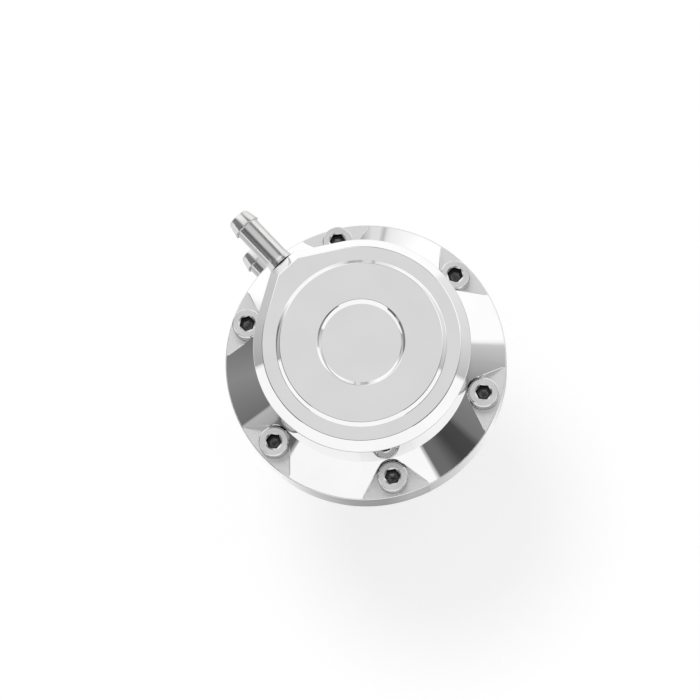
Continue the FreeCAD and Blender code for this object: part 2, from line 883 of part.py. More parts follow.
def wind_spring():
    """A compression spring with closed ends, each ground flat to its seat."""
    low = number("base_thickness")
    high = number(CROWN_UNDER)
    radius = number("spring_radius")
    wire = number("wire_radius")
    closed = number("closed_coils")
    active = number("active_coils")
    start = low + wire / 2
    rise = closed * wire * CLOSED_COIL_PITCH
    climb = high - low - wire - 2 * rise
    coils = active + 2 * closed
    total = int(coils * POINTS_PER_COIL)
    path = []
    for i in range(total + 1):
        turn = coils * i / total
        if turn <= closed:
            level = start + rise * turn / closed
        elif turn <= closed + active:
            part = (turn - closed) / active
            level = start + rise + climb * part
        else:
            level = start + rise + climb + rise * (turn - closed - active) / closed
        angle = 2 * math.pi * turn
        path.append(
            FreeCAD.Vector(radius * math.cos(angle), radius * math.sin(angle), level)
        )
    curve = Part.BSplineCurve()
    curve.interpolate(path)
    spine = Part.Wire([curve.toShape()])
    heading = curve.tangent(curve.FirstParameter)[0]
    section = Part.Wire([Part.makeCircle(wire, path[0], heading)])
    coil = spine.makePipeShell([section], True, True)
    reach = radius + 3 * wire
    slab = Part.makeCylinder(reach, high - low, FreeCAD.Vector(0, 0, low))
    return coil.common(slab).Solids[0]


return_spring = doc.addObject("Part::Feature", "return_spring")
return_spring.Label = "return_spring"
return_spring.Shape = wind_spring()
return_spring.Placement = FreeCAD.Placement()
doc.recompute()

pieces = [
    o
    for o in doc.Objects
    if o.TypeId == "PartDesign::Body" or o.Name == "return_spring"
]
for item in doc.Objects:
    if "Invalid" in item.State or "Error" in item.State:
        raise RuntimeError(f"{item.Name} failed: {item.State}")
for piece in pieces:
    if piece.Shape.isNull() or not piece.Shape.isValid():
        raise RuntimeError(f"{piece.Label} has no valid shape")
    if len(piece.Shape.Solids) != 1:
        raise RuntimeError(f"{piece.Label} is not one solid")
os.makedirs("parts", exist_ok=True)
for piece in pieces:
    piece.Shape.exportStep(f"parts/{piece.Label}.step")
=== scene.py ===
import json
import math

import bmesh
import bpy
from mathutils import Matrix, Vector


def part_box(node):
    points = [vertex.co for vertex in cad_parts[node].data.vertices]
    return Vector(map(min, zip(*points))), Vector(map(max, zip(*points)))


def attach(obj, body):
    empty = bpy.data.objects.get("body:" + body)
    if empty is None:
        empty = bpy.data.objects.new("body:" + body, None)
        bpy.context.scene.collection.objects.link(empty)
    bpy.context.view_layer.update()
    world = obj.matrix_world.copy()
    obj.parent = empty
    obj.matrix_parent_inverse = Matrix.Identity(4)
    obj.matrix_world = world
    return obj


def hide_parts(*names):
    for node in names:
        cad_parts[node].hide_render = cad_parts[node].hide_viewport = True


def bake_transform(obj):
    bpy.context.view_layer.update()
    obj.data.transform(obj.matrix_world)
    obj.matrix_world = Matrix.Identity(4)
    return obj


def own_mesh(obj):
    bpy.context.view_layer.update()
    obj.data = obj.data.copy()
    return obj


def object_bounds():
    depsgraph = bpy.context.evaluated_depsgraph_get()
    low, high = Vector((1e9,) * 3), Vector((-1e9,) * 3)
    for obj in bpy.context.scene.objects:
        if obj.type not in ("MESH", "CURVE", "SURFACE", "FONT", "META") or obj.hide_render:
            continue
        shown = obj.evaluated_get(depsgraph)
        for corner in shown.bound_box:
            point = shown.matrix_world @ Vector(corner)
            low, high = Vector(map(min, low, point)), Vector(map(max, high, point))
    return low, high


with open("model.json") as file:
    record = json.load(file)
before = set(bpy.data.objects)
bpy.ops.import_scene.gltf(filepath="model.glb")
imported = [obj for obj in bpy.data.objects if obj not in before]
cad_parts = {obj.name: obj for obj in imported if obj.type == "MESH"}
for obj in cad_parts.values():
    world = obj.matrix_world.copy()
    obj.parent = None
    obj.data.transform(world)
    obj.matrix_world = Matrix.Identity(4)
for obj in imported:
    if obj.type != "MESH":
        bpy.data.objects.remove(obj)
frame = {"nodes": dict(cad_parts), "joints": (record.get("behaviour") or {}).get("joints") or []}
cad_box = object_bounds()

bl_info = {
    "name": "Wastegate actuator looks",
    "version": (1, 0, 0),
    "blender": (4, 5, 0),
    "location": "3D View > Sidebar > Actuator",
    "description": "Polished billet cover and can, screws, hose tails and rod of an actuator",
    "category": "Object",
}

MM = 0.001
NODES = frame["nodes"]
SCREWS = [f"cover_screw_{k}" for k in range(1, 7)]
COVER_LOW, COVER_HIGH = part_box("top_cover")
HEAD_HEIGHT = 5.0 * MM
ROD_TRAVEL = frame["joints"][0]["range_m"][1]
WELD = 0.002 * MM
THREAD_STEPS = 8
TURNED_SIDES = 360
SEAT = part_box(SCREWS[0])[1].z - HEAD_HEIGHT
SOCKET_TURNS = (12.0, 4.0, 20.0, 33.0, 8.0, 26.0)

# Sizes of the turned, cut and threaded forms, and of the marks on the pocket floors.
HEAD_RADIUS = 4.25 * MM
HEAD_SIDES = 96
SHANK_RADIUS = 2.5 * MM
SHANK_LENGTH = 10.0 * MM
KNURL_FOOT = 0.45 * MM
KNURL_TOP = 0.95 * MM
SOCKET_MOUTH = 2.48 * MM
SOCKET_THROAT = 1.95 * MM
SOCKET_LEAD = 0.28 * MM
SOCKET_LEDGE = 0.80 * MM
DRILL_POINT = 0.6 * MM
SCREW_HOLE = 2.75 * MM
POCKET_NOSE = 4.5 * MM
POCKET_SLOPE = math.radians(45.0)
POCKET_INNER = 29.0 * MM
POCKET_MARKS = 0.35 * MM
SEAT_BAND = 0.03 * MM
CHAMBER_RADIUS = 26.8 * MM
CHAMBER_CORNER = 2.0 * MM
ROOF = 4.0 * MM
STOP_CIRCLE = 17.0 * MM
STOP_RADIUS = 2.5 * MM
STOP_GAP = 0.2 * MM
TAIL_HOLE = 3.05 * MM
TAIL_HOLE_START = 22.0 * MM
TAIL_HOLE_LENGTH = 15.0 * MM
TAIL_BORE = 2.0 * MM
TAIL_RADIUS = 3.5 * MM
TAIL_COLLAR = 3.8 * MM
TAIL_SPIGOT = 3.0 * MM
BARB_RADIUS = 4.05 * MM
BARB_LENGTH = 4.0 * MM
WASHER_EDGE = 0.08 * MM
ROD_RADIUS = 4.0 * MM
ROD_END_RADIUS = 3.0 * MM
ROD_CHAMFER = 0.6 * MM
ROD_SHOULDER_UP = 4.4 * MM
ROD_COLLAR_HEIGHT = 3.0 * MM
ROD_RUN_OUT = 1.6 * MM
PISTON_STACK = 3.3 * MM
END_THREAD_DEPTH = 0.56 * MM
END_THREAD_PITCH = 1.0 * MM
TOP_THREAD_DEPTH = 0.7 * MM
TOP_THREAD_PITCH = 1.25 * MM

# The floor's gap below the rod at its lowest, the mirrored dome and the sky beyond it.
FLOOR_GAP = 0.5 * MM
DOME_RADIUS = 3.0
MIRRORED_SKY = 0.97


def metal_colour(name, description, default):
    return bpy.props.FloatVectorProperty(
        name=name,
        description=description,
        subtype="COLOR",
        size=3,
        min=0.0,
        max=1.0,
        default=default,
    )


def roughness(name, description, default):
    return bpy.props.FloatProperty(
        name=name,
        description=description,
        subtype="FACTOR",
        min=0.0,
        max=1.0,
        default=default,
    )


def length(name, description, millimetres):
    return bpy.props.FloatProperty(
        name=name,
        description=description,
        subtype="DISTANCE",
        unit="LENGTH",
        min=0.0,
        default=millimetres * MM,
    )


def camera_angle(name, description, degrees):
    return bpy.props.FloatProperty(
        name=name,
        description=description,
        subtype="ANGLE",
        unit="ROTATION",
        default=math.radians(degrees),
    )


def amount(name, description, default, least=0.0):
    return bpy.props.FloatProperty(
        name=name, description=description, min=least, default=default
    )


def position(name, description, default):
    return bpy.props.FloatVectorProperty(
        name=name,
        description=description,
        subtype="TRANSLATION",
        unit="LENGTH",
        size=3,
        default=default,
    )


class FinishSettings(bpy.types.PropertyGroup):
    """Colours and roughness of the actuator's metals and rubber."""

    polished: metal_colour("Polished aluminium", "Cover and can", (0.92, 0.92, 0.925))
    polish_roughness: roughness("Polish roughness", "Roughness of the polish", 0.022)
    floor_roughness: roughness("Pocket roughness", "Roughness of milled pockets", 0.34)
    screw_steel: metal_colour("Screw steel", "Heads of the cover screws", (0.82, 0.82, 0.815))
    screw_roughness: roughness("Screw roughness", "Roughness of the heads", 0.24)
    # Painted shade: the socket walls are painted near black for the shade inside each socket,
    # though the screw is one steel.
    socket_wall_painted_shade: metal_colour("Socket wall painted shade", "Walls of the sockets", (0.08, 0.08, 0.08))
    # Painted shade: the socket floors are a middle grey, darker than the steel and paler than
    # the walls, for the light that reaches the bottom of each socket.
    socket_floor_painted_shade: metal_colour("Socket floor painted shade", "Floors of the sockets", (0.42, 0.42, 0.42))
    tail_steel: metal_colour("Tail steel", "Turned hose tails", (0.78, 0.78, 0.775))
    tail_roughness: roughness("Tail roughness", "Roughness of the tails", 0.17)
    rod_steel: metal_colour("Rod steel", "Ground rod", (0.70, 0.70, 0.69))
    plated: metal_colour("Plated steel", "Nuts and washer", (0.66, 0.66, 0.64))
    eye_steel: metal_colour("Eye steel", "Machined rod eye", (0.62, 0.62, 0.61))
    spring_steel: metal_colour("Spring steel", "Return spring", (0.34, 0.35, 0.37))
    bronze: metal_colour("Bronze", "Rod bush", (0.62, 0.42, 0.22))
    inner_aluminium: metal_colour("Turned aluminium", "Piston and plate", (0.76, 0.76, 0.77))
    ring_steel: metal_colour("Ring steel", "Seal's retaining ring", (0.22, 0.22, 0.23))
    rubber: metal_colour("Rubber", "Seal and washers", (0.022, 0.022, 0.023))
    cloth: metal_colour("Coated cloth", "Rolling diaphragm", (0.05, 0.05, 0.055))


class PieceSettings(bpy.types.PropertyGroup):
    """Sizes of the small forms that the finished pieces carry."""

    head_round: length("Head rounding", "Bevel of a screw head's top edge", 0.42)
    knurl_depth: length("Knurl depth", "Depth of the grooves round a screw head", 0.10)
    socket_width: length("Socket width", "Across the flats of a socket", 4.0)
    socket_depth: length("Socket depth", "Depth of a socket", 2.5)
    barb_round: length("Barb edge", "Rounding of a barb's edge", 0.10)
    wall: length("Wall radius", "Radius of the can's wall", 30.3)
    boss_reach: length("Boss reach", "How far the hose boss's flat lies from the axis", 32.8)
    boss_half: length("Boss half width", "Half the width of the hose boss's flat", 4.4)
    face_chamfer: length("Face chamfer", "Width of the bevel round the cover's face", 2.75)
    skirt_rise: length("Skirt rise", "Height of the cone skirt above the screw seats", 6.8)
    edge: length("Machined edge", "Width of the edge broken on the polished cover", 0.20)
    rim_round: length("Rim rounding", "Rounding of the flange's upper edge", 0.28)
    pocket_edge: length("Pocket edge", "Bevel along the top of the screw pockets' walls", 0.20)
    plateau_foot: length("Plateau foot", "Radius of the raised face at its foot", 23.7)
    plateau_rise: length("Plateau rise", "Height and run of the raised face's slope", 1.1)
    recess_rim: length("Recess rim", "Radius of the middle recess at its rim", 12.2)
    recess_drop: length("Recess drop", "Depth and run of the middle recess's slope", 1.25)
    face_round: length("Face rounding", "Rounding of the raised face's and recess's edges", 0.42)


class StageSettings(bpy.types.PropertyGroup):
    """Where the camera and the lamp stand, and how bright the studio is."""

    azimuth: camera_angle("Azimuth", "Camera's turn about the actuator's axis", 61.2445)
    elevation: camera_angle("Elevation", "Camera's height above the horizon", 77.0059)
    roll: camera_angle("Roll", "Camera's turn about its own line of sight", -14.383)
    place: position("Camera place", "Where the camera stands", (0.17211, -0.09845, 0.9167))
    lens: amount("Lens", "Focal length in millimetres on a 36 mm sensor", 162.934, 1.0)
    studio: amount("Studio light", "Brightness of the pale studio all round", 0.80)
    overhead: amount("Overhead panel", "Brightness of the panel above the face", 0.75)
    floor_fill: amount("Floor fill", "Light that lifts the floor for the camera", 0.29)
    key_power: amount("Key power", "Power of the soft key lamp in watts", 2.3)
    key_size: length("Key size", "Width of the soft key lamp", 340.0)
    key_place: position("Key place", "Where the soft key lamp hangs", (-0.27, 0.03, 1.17))


class Tree:
    """A material's or world's nodes, added and wired in short calls."""

    def __init__(self, owner):
        owner.use_nodes = True
        self.nodes = owner.node_tree.nodes
        self.links = owner.node_tree.links
        self.nodes.clear()

    def add(self, kind, inputs=None, **settings):
        node = self.nodes.new(kind)
        for key, value in settings.items():
            setattr(node, key, value)
        for key, value in (inputs or {}).items():
            if isinstance(value, bpy.types.NodeSocket):
                self.links.new(value, node.inputs[key])
            else:
                node.inputs[key].default_value = value
        return node

    def calculate(self, operation, a, b=0.0, c=0.0):
        node = self.add("ShaderNodeMath", {0: a, 1: b, 2: c}, operation=operation)
        return node.outputs[0]

    def wave(self, value, spacing):
        """A sine wave that repeats each time the value grows by the spacing."""
        turns = self.calculate("MULTIPLY", value, 2.0 * math.pi / spacing)
        return self.calculate("SINE", turns)

    def spread(self, value, low, high, to_low=0.0, to_high=1.0, eased=False):
        """The value, taken from one range to another and held inside it."""
        node = self.add(
            "ShaderNodeMapRange",
            {
                "Value": value,
                "From Min": low,
                "From Max": high,
                "To Min": to_low,
                "To Max": to_high,
            },
            clamp=True,
            interpolation_type="SMOOTHSTEP" if eased else "LINEAR",
        )
        return node.outputs["Result"]

    def blend(self, factor, a, b):
        node = self.add("ShaderNodeMix", {0: factor, 6: a, 7: b}, data_type="RGBA")
        return node.outputs[2]

    def noise(self, place, scale, detail=3.0):
        node = self.add(
            "ShaderNodeTexNoise",
            {"Vector": place, "Scale": scale, "Detail": detail},
        )
        return node.outputs["Fac"]

    def shade(self, tint, rough, height, depth, strength=1.0, metallic=1.0):
        """The material's surface, with bumps of that depth."""
        bump = self.add(
            "ShaderNodeBump", {"Height": height, "Distance": depth, "Strength": strength}
        )
        shader = self.add(
            "ShaderNodeBsdfPrincipled",
            {
                "Base Color": tint,
                "Metallic": metallic,
                "Roughness": rough,
                "Normal": bump.outputs[0],
            },
        )
        self.add("ShaderNodeOutputMaterial", {"Surface": shader.outputs[0]})


def place_on(tree, centre=(0.0, 0.0, 0.0), stretch=(1.0, 1.0, 1.0)):
    """Object coordinates from a centre, with each axis stretched on its own."""
    coordinates = tree.add("ShaderNodeTexCoord").outputs["Object"]
    shifted = tree.add(
        "ShaderNodeVectorMath",
        {0: coordinates, 1: Vector(centre)},
        operation="SUBTRACT",
    ).outputs[0]
    scaled = tree.add(
        "ShaderNodeVectorMath", {0: shifted, 1: Vector(stretch)}, operation="MULTIPLY"
    )
    return scaled.outputs[0]


def along_and_out(tree, place, axis):
    """How far along an axis a point lies, and how far out from it."""
    parts = tree.add("ShaderNodeSeparateXYZ", {0: place}).outputs
    along = parts["XYZ".index(axis)]
    others = [parts[k] for k in range(3) if "XYZ"[k] != axis]
    squares = [tree.calculate("MULTIPLY", p, p) for p in others]
    out = tree.calculate("SQRT", tree.calculate("ADD", squares[0], squares[1]))
    return along, out


def machined(
    name,
    colour,
    rough,
    axis=None,
    centre=(0.0, 0.0, 0.0),
    pitch=0.12,
    line_depth=0.3,
    mottle=0.05,
):
    """Bare metal with fine tool lines about an axis, mottling and rubbed patches.

    The pitch is in millimetres and the line depth in micrometres.
    """
    material = bpy.data.materials.new(name)
    tree = Tree(material)
    place = place_on(tree, centre)
    cloud = tree.noise(place, 140.0, 4.0)
    speck = tree.noise(place, 2600.0, 2.0)
    dark = tuple(c * (1.0 - 2.0 * mottle) for c in colour)
    tint = tree.blend(tree.spread(cloud, 0.3, 0.7), (*dark, 1.0), (*colour, 1.0))
    worn = tree.spread(cloud, 0.3, 0.7, rough * 1.25, rough * 0.8)
    fine = tree.spread(speck, 0.3, 0.7, -0.15 * rough, 0.15 * rough)
    height = tree.calculate("MULTIPLY", speck, 0.5)
    if axis:
        along, out = along_and_out(tree, place, axis)
        travel = tree.calculate("ADD", along, out)
        waver = tree.calculate("MULTIPLY", cloud, pitch * MM)
        line = tree.wave(tree.calculate("ADD", travel, waver), pitch * MM)
        height = tree.calculate("ADD", height, line)
    tree.shade(tint, tree.calculate("ADD", worn, fine), height, line_depth * MM * MM)
    return material


def polished_aluminium(name, finish):
    """Mirror polish with faint buffing marks. The screw pockets' floors are left as milled."""
    colour = finish.polished
    rough = finish.polish_roughness
    milled_rough = finish.floor_roughness
    material = bpy.data.materials.new(name)
    tree = Tree(material)
    place = place_on(tree)
    swirl = tree.noise(place, 90.0, 2.0)
    speck = tree.noise(place, 1800.0, 3.0)
    scratch = tree.noise(place_on(tree, stretch=(1.0, 14.0, 3.0)), 900.0, 2.0)
    along, out = along_and_out(tree, place, "Z")
    near_seat = tree.calculate("ABSOLUTE", tree.calculate("SUBTRACT", along, SEAT))
    milled = tree.calculate(
        "MULTIPLY",
        tree.calculate("LESS_THAN", near_seat, SEAT_BAND),
        tree.calculate("GREATER_THAN", out, POCKET_INNER),
    )
    polish = tree.calculate(
        "ADD",
        tree.spread(swirl, 0.3, 0.7, rough * 0.7, rough * 1.3),
        tree.spread(scratch, 0.62, 0.78, 0.0, rough * 0.6),
    )
    milling = tree.spread(speck, 0.3, 0.7, milled_rough * 0.85, milled_rough * 1.15)
    both = tree.add("ShaderNodeMix", {0: milled, 2: polish, 3: milling})
    cutter = tree.wave(out, POCKET_MARKS)
    height = tree.calculate(
        "ADD",
        tree.calculate("MULTIPLY", scratch, 0.25),
        tree.calculate("MULTIPLY", cutter, tree.calculate("MULTIPLY", milled, 1.5)),
    )
    dull = tuple(c * 0.955 for c in colour)
    tint = tree.blend(tree.spread(swirl, 0.25, 0.75), (*dull, 1.0), (*colour, 1.0))
    tree.shade(tint, both.outputs[0], height, 0.2 * MM * MM)
    return material


def soft_black(name, colour, rough, weave=None):
    """Rubber with a fine moulded grain, or coated cloth whose weave shows through."""
    material = bpy.data.materials.new(name)
    tree = Tree(material)
    place = place_on(tree)
    grain = tree.noise(place, 3000.0, 4.0)
    dusty = tree.noise(place, 160.0, 3.0)
    height = grain
    if weave:
        parts = tree.add("ShaderNodeSeparateXYZ", {0: place}).outputs
        around = tree.calculate("ARCTAN2", parts[1], parts[0])
        _, out = along_and_out(tree, place, "Z")
        warp = tree.calculate("SINE", tree.calculate("MULTIPLY", around, weave))
        weft = tree.wave(tree.calculate("ADD", out, parts[2]), 0.6 * MM)
        height = tree.calculate("ADD", grain, tree.calculate("MULTIPLY", warp, weft))
    pale = tuple(min(1.0, c * 2.2) for c in colour)
    tint = tree.blend(
        tree.spread(dusty, 0.45, 0.8, 0.0, 0.6), (*colour, 1.0), (*pale, 1.0)
    )
    worn = tree.spread(dusty, 0.3, 0.7, rough * 0.9, rough * 1.1)
    tree.shade(tint, worn, height, 0.03 * MM, strength=0.8, metallic=0.0)
    return material


def finish_node(name, material):
    """A CAD node as it comes, with smooth curves, true edges and its finish."""
    node = NODES[name]
    node.data.materials.clear()
    node.data.materials.append(material)
    for face in node.data.polygons:
        face.use_smooth = True
    weld = node.modifiers.new("weld", "WELD")
    weld.merge_threshold = WELD
    split = node.modifiers.new("split", "EDGE_SPLIT")
    split.split_angle = math.radians(30.0)


def select_only(piece):
    bpy.ops.object.select_all(action="DESELECT")
    piece.select_set(True)
    bpy.context.view_layer.objects.active = piece


def select_by(kind, test):
    """Select the faces, edges or vertices that pass the test, in edit mode."""
    piece = bpy.context.edit_object
    bpy.ops.mesh.select_mode(type=kind)
    bpy.ops.mesh.select_all(action="DESELECT")
    mesh = bmesh.from_edit_mesh(piece.data)
    for item in {"FACE": mesh.faces, "EDGE": mesh.edges, "VERT": mesh.verts}[kind]:
        if test(item):
            item.select = True
    mesh.select_flush_mode()
    bmesh.update_edit_mesh(piece.data)


def rounded(corners, steps=3):
    """A profile's points, from (radius, height, fillet) corners."""
    points = []
    for k, (r, z, fillet) in enumerate(corners):
        if not fillet:
            points.append((r, z))
            continue
        here = Vector((r, z))
        back = (Vector(corners[k - 1][:2]) - here).normalized()
        ahead = (Vector(corners[k + 1][:2]) - here).normalized()
        half = back.angle(ahead) / 2.0
        reach = fillet / math.tan(half)
        centre = here + (back + ahead).normalized() * (fillet / math.sin(half))
        start = here + back * reach - centre
        finish = here + ahead * reach - centre
        for step in range(steps + 1):
            spoke = start.slerp(finish, step / steps)
            points.append(tuple(centre + spoke.normalized() * fillet))
    return points


def turned_form(name, profile, sides):
    """A turned form about Z, drawn out ring by ring through (radius, height) points.

    A profile that starts and ends on the axis is closed there, and any other is closed
    by a bridge from its last ring to its first. A ring may also say how far its centre
    stands off the axis in X and Y.
    """
    solid = profile[0][0] == 0.0
    rings = profile[1:-1] if solid else profile
    radius, height = rings[0]
    bpy.ops.mesh.primitive_circle_add(
        vertices=sides,
        radius=radius,
        location=(0.0, 0.0, height),
        fill_type="TRIFAN" if solid else "NOTHING",
    )
    piece = bpy.context.active_object
    piece.name = name
    bpy.ops.object.transform_apply(location=True, rotation=True, scale=True)
    bpy.ops.object.mode_set(mode="EDIT")
    bpy.ops.mesh.select_mode(type="VERT")
    if solid:
        select_by("VERT", lambda v: v.co.xy.length > radius * 0.5)
        bpy.ops.mesh.select_mode(type="EDGE")
    else:
        bpy.ops.mesh.select_all(action="SELECT")
    centre = Vector((0.0, 0.0, height))
    for next_radius, next_height, *aside in rings[1:]:
        next_centre = Vector((*(aside or (0.0, 0.0)), next_height))
        bpy.ops.mesh.extrude_edges_move(
            TRANSFORM_OT_translate={"value": next_centre - centre}
        )
        ratio = next_radius / radius
        bpy.ops.transform.resize(value=(ratio, ratio, 1.0), center_override=next_centre)
        radius, centre = next_radius, next_centre
    if solid:
        bpy.ops.mesh.edge_face_add()
        bpy.ops.mesh.poke()
    else:
        ends = (profile[0], profile[-1])
        select_by(
            "VERT",
            lambda v: any(
                abs(v.co.xy.length - r) < 1e-6 and abs(v.co.z - z) < 1e-6
                for r, z in ends
            ),
        )
        bpy.ops.mesh.select_mode(type="EDGE")
        bpy.ops.mesh.bridge_edge_loops()
    bpy.ops.mesh.select_mode(type="VERT")
    bpy.ops.mesh.select_all(action="SELECT")
    bpy.ops.mesh.remove_doubles(threshold=1e-7)
    bpy.ops.mesh.normals_make_consistent(inside=False)
    bpy.ops.object.mode_set(mode="OBJECT")
    return piece


def thread_rings(radius, depth, pitch, low, high):
    """Rings whose centres wind round the axis, so that a thread stands between them."""
    lift = depth / 2.0
    count = round((high - low) / pitch * THREAD_STEPS)
    turns = [2.0 * math.pi * k / THREAD_STEPS for k in range(count + 1)]
    levels = [low + (high - low) * k / count for k in range(count + 1)]
    return [
        (radius - lift, level, lift * math.cos(turn), lift * math.sin(turn))
        for turn, level in zip(turns, levels)
    ]


def apply_modifier(piece, kind, **settings):
    modifier = piece.modifiers.new(kind.lower(), kind)
    for key, value in settings.items():
        setattr(modifier, key, value)
    select_only(piece)
    bpy.ops.object.modifier_apply(modifier=modifier.name)


def set_in_place(piece, rotation, location):
    """Turn and move a piece, leaving its place in its mesh."""
    select_only(piece)
    piece.rotation_euler = rotation
    piece.location = location
    bpy.ops.object.transform_apply(location=True, rotation=True, scale=True)


def smooth(piece, degrees):
    select_only(piece)
    bpy.ops.object.shade_smooth_by_angle(angle=math.radians(degrees))


def loose_copy(name, material):
    """A merged copy of a CAD node, for a piece that flexes as the rod moves; the copy keeps the
    node's shape.
    """
    piece = bpy.data.objects.new(f"{name}_finished", NODES[name].data.copy())
    piece.data.materials.clear()
    piece.data.materials.append(material)
    bpy.context.scene.collection.objects.link(piece)
    select_only(piece)
    bpy.ops.object.mode_set(mode="EDIT")
    bpy.ops.mesh.select_all(action="SELECT")
    bpy.ops.mesh.remove_doubles(threshold=WELD)
    bpy.ops.object.mode_set(mode="OBJECT")
    smooth(piece, 30.0)
    return piece


def hand_over(piece, body, node):
    """Let the piece stand for its CAD node and ride on its body."""
    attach(piece, body)
    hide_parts(node)


# The inside of a socket, painted in the given dark colour as painted shade.
def socket_shade_material(name, colour):
    return machined(name, colour, 0.45, "Z", pitch=0.2, mottle=0.15)


def join_forms(piece, other, operation, **settings):
    """Add another form to the piece or cut it from it, and drop the other form."""
    settings.update(object=other, operation=operation, solver="EXACT")
    apply_modifier(piece, "BOOLEAN", **settings)
    bpy.data.objects.remove(other)


def upright_cylinder(radius, low, high, centre=(0.0, 0.0), sides=64):
    bpy.ops.mesh.primitive_cylinder_add(
        vertices=sides,
        radius=radius,
        depth=high - low,
        location=(*centre, (low + high) / 2.0),
    )
    bpy.ops.object.transform_apply(location=True, rotation=True, scale=True)
    return bpy.context.active_object


def can_form(name, low, high, p):
    """The can's wall with the tangents that run out to the hose boss's flat."""
    piece = upright_cylinder(p.wall, low, high, sides=TURNED_SIDES)
    piece.name = name
    bpy.ops.object.mode_set(mode="EDIT")
    thin = 1.0 * MM
    bpy.ops.mesh.primitive_cube_add(
        size=1.0,
        location=(thin / 2.0 - p.boss_reach, 0.0, (low + high) / 2.0),
        scale=(thin, 2.0 * p.boss_half, high - low),
    )
    bpy.ops.mesh.select_all(action="SELECT")
    bpy.ops.mesh.convex_hull()
    bpy.ops.mesh.remove_doubles(threshold=1e-6)
    bpy.ops.mesh.dissolve_limited(angle_limit=math.radians(0.1))
    bpy.ops.object.mode_set(mode="OBJECT")
    return piece


def rim_edge(edge, level):
    """Whether an edge at that level turns from a level face to a steep one."""
    at_level = all(abs(v.co.z - level) < 1e-6 for v in edge.verts)
    if not at_level or len(edge.link_faces) != 2:
        return False
    tilts = sorted(abs(f.normal.z) for f in edge.link_faces)
    return tilts[0] < 0.9 and tilts[1] > 0.99


def pocket_lip(edge, reach):
    """Whether an edge inside that radius joins the cone skirt to a pocket's wall."""
    if len(edge.link_faces) != 2 or any(v.co.xy.length > reach for v in edge.verts):
        return False
    tilts = sorted(f.normal.z for f in edge.link_faces)
    return abs(tilts[0]) < 0.05 and 0.6 < tilts[1] < 0.95


def pocket_cutter(angle, circle, reach, low, high):
    """The round-nosed V that clears one screw head, open at the flange's edge."""
    tip = upright_cylinder(POCKET_NOSE, low, high, (circle, 0.0), 96)
    bpy.ops.object.mode_set(mode="EDIT")
    near_x = circle - POCKET_NOSE * math.sin(POCKET_SLOPE)
    near_y = POCKET_NOSE * math.cos(POCKET_SLOPE)
    far_y = near_y + (reach - near_x) * math.tan(POCKET_SLOPE)
    bpy.ops.mesh.primitive_cube_add(
        size=1.0,
        location=((near_x + reach) / 2.0, 0.0, (low + high) / 2.0),
        scale=(reach - near_x, 2.0 * near_y, high - low),
    )
    select_by("VERT", lambda v: abs(v.co.x - reach) < 1e-6)
    bpy.ops.transform.resize(
        value=(1.0, far_y / near_y, 1.0), center_override=(reach, 0.0, 0.0)
    )
    bpy.ops.mesh.select_all(action="SELECT")
    bpy.ops.mesh.convex_hull()
    bpy.ops.object.mode_set(mode="OBJECT")
    set_in_place(tip, (0.0, 0.0, angle), (0.0, 0.0, 0.0))
    return tip


